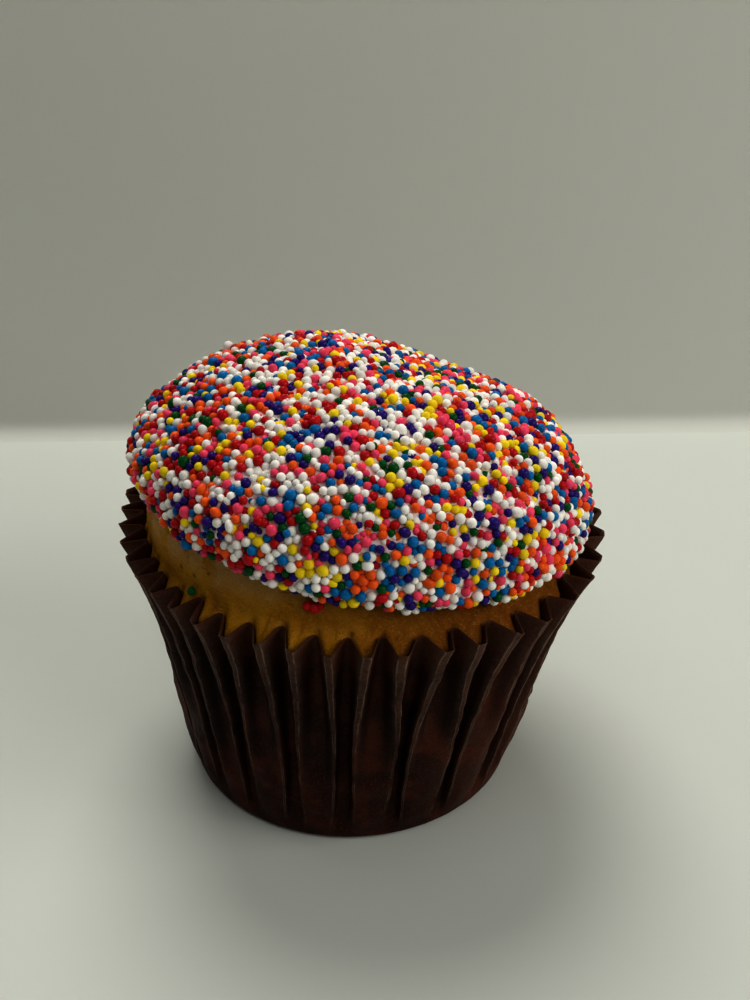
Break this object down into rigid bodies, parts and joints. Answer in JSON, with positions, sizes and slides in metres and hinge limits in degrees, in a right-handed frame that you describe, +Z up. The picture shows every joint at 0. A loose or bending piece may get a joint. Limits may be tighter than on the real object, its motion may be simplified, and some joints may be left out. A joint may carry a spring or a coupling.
{
  "type": "cupcake",
  "caption": "Cupcake in a dark fluted paper case, with a lopsided dome of white icing covered all over in small round sugar beads of many colours.",
  "frame": {"origin": "middle of the flat base of the paper case, on the surface that the cupcake stands on", "axes": "+Z up, -Y towards the side that shows most of the sponge below the icing, +X to the right of it"},
  "size_m": [0.0725, 0.0733, 0.0688],
  "materials": {
    "case_paper": "thin greaseproof paper, dark brown, slightly waxy",
    "sponge_cake": "baked sponge, golden crust with a fine crumb",
    "white_icing": "set icing, smooth, white with a pink tint"
  },
  "bodies": {
    "root": {"paper_case": "case_paper", "sponge": "sponge_cake", "icing": "white_icing"}
  },
  "joints": []
}
